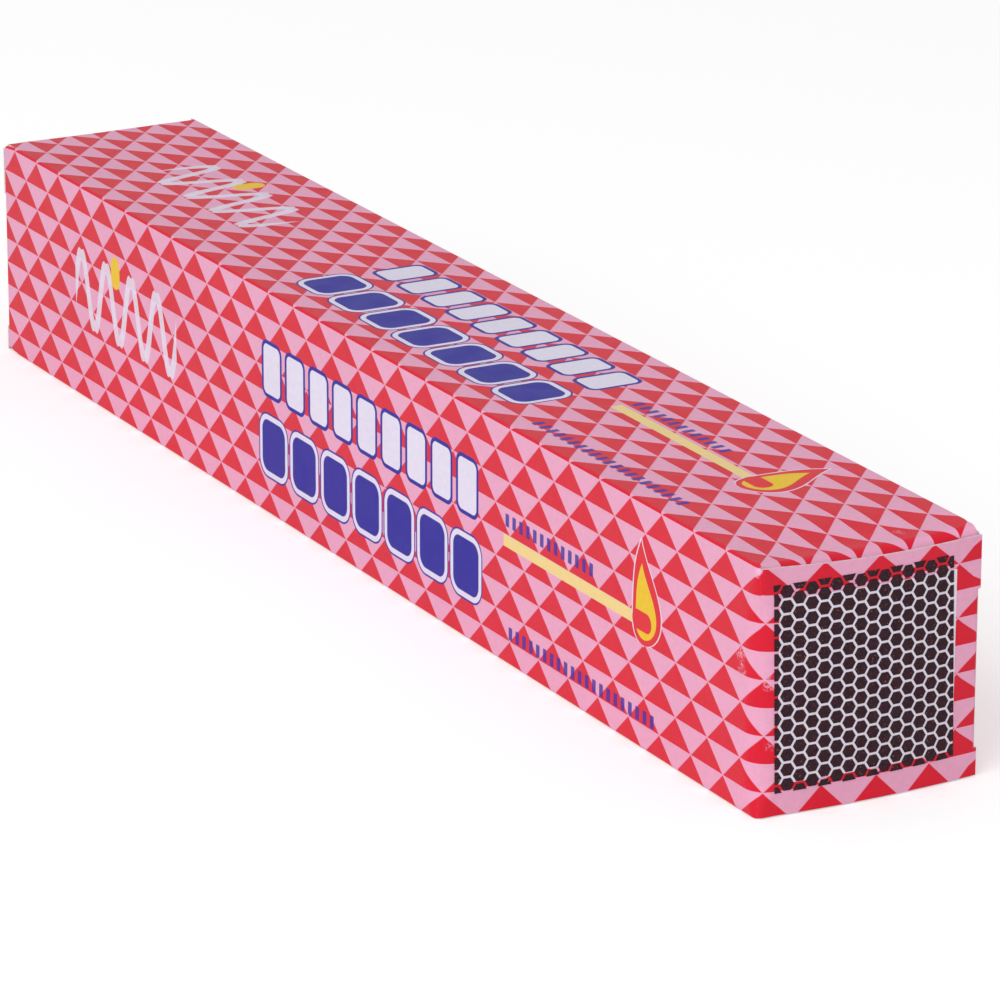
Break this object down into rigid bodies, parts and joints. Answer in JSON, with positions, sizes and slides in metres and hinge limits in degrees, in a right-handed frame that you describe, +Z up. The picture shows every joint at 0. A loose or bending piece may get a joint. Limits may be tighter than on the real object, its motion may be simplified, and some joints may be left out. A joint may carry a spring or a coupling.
{
  "type": "matchbox",
  "caption": "Long card matchbox with a tuck-in lid at each end, a honeycomb striking surface on one lid, and long wooden matches inside.",
  "frame": {"origin": "middle of the underside, with the box lying on one long side", "axes": "+Z up, Y along the box with the striking surface at -Y, X across it"},
  "size_m": [0.0414, 0.292, 0.0425],
  "materials": {
    "printed_card": "folding carton board, printed red and pink in a triangle check and varnished, raw white-grey inside",
    "striking_surface": "dark brown friction coating in hexagon cells with pale lines between them",
    "match_wood": "plain aspen splint with a dipped dark red-brown head"
  },
  "bodies": {
    "box": {"carton": "printed_card", "match_01": "match_wood", "match_02": "match_wood", "match_03": "match_wood", "match_04": "match_wood", "match_05": "match_wood", "match_06": "match_wood", "match_07": "match_wood", "match_08": "match_wood", "match_09": "match_wood", "match_10": "match_wood", "match_11": "match_wood", "match_12": "match_wood", "match_13": "match_wood", "match_14": "match_wood", "match_15": "match_wood", "match_16": "match_wood", "match_17": "match_wood", "match_18": "match_wood", "match_19": "match_wood", "match_20": "match_wood", "match_21": "match_wood", "match_22": "match_wood", "match_23": "match_wood", "match_24": "match_wood", "match_25": "match_wood", "match_26": "match_wood", "match_27": "match_wood", "match_28": "match_wood", "match_29": "match_wood", "match_30": "match_wood", "match_31": "match_wood", "match_32": "match_wood", "match_33": "match_wood", "match_34": "match_wood", "match_35": "match_wood", "match_36": "match_wood", "match_37": "match_wood", "match_38": "match_wood", "match_39": "match_wood", "match_40": "match_wood"},
    "near_lid": {"near_lid": "printed_card", "striker": "striking_surface"},
    "far_lid": {"far_lid": "printed_card"}
  },
  "joints": [
    {"name": "near_lid_fold", "type": "hinge", "parent": "box", "child": "near_lid", "pos_m": [-0.01958, -0.14383, 0], "axis": [0, 0, -1], "range_deg": [0, 170]},
    {"name": "far_lid_fold", "type": "hinge", "parent": "box", "child": "far_lid", "pos_m": [0.01958, 0.14383, 0], "axis": [0, 0, -1], "range_deg": [0, 170]}
  ]
}
